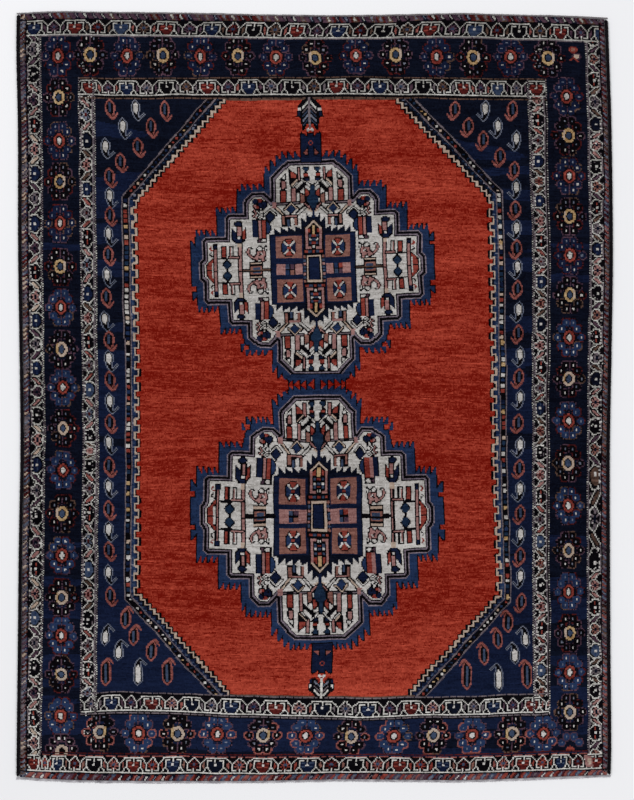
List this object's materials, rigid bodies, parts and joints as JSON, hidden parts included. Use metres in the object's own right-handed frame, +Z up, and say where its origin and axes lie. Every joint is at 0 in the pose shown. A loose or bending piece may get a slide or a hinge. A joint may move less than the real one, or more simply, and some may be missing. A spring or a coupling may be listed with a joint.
{
  "type": "persian rug",
  "caption": "Flat hand-knotted wool rug with two blue medallions on a madder field, wide borders, bound sides and worn plain-woven ends.",
  "frame": {"origin": "under the middle of the rug's whole outline, on the surface that it lies on", "axes": "+Y along the rug's length towards the far end, which is the top of the picture; +X to the right across its width; +Z up through the pile"},
  "size_m": [1.6402, 2.1267, 0.009],
  "materials": {
    "knotted_wool": "low-cut wool pile, madder red, navy, ivory and black, softly lustrous",
    "overcast_wool": "near-black wool yarn wrapped round the edge warps",
    "woven_ends": "undyed plain weave with cut warp ends, matt and worn"
  },
  "bodies": {
    "root": {"pile": "knotted_wool", "binding_left": "overcast_wool", "binding_right": "overcast_wool", "end_web_near": "woven_ends", "end_web_far": "woven_ends"}
  },
  "joints": []
}
